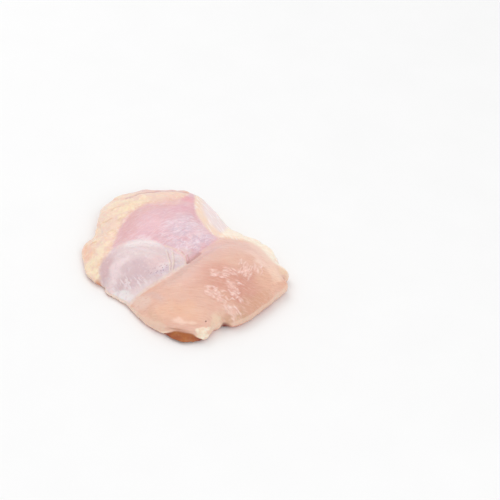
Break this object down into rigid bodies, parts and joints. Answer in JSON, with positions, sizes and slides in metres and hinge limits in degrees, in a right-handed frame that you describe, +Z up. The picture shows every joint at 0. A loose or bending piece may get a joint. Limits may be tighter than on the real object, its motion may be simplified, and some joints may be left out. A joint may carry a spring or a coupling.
{
  "type": "raw chicken thigh",
  "caption": "Raw boneless skinless chicken thigh, lying smooth side up: a low uneven lobe of muscle with creases between its bellies, a rolled edge and a flat underside.",
  "frame": {"origin": "middle of the bounding box, at the level it rests on", "axes": "+Z up out of the smooth upper side, +Y to the back, where the thigh is longest, +X to the thick end on the right"},
  "size_m": [0.121, 0.1232, 0.0245],
  "materials": {
    "raw_meat": "wet, moist gloss"
  },
  "bodies": {
    "root": {"chicken_thigh": "raw_meat"}
  },
  "joints": []
}
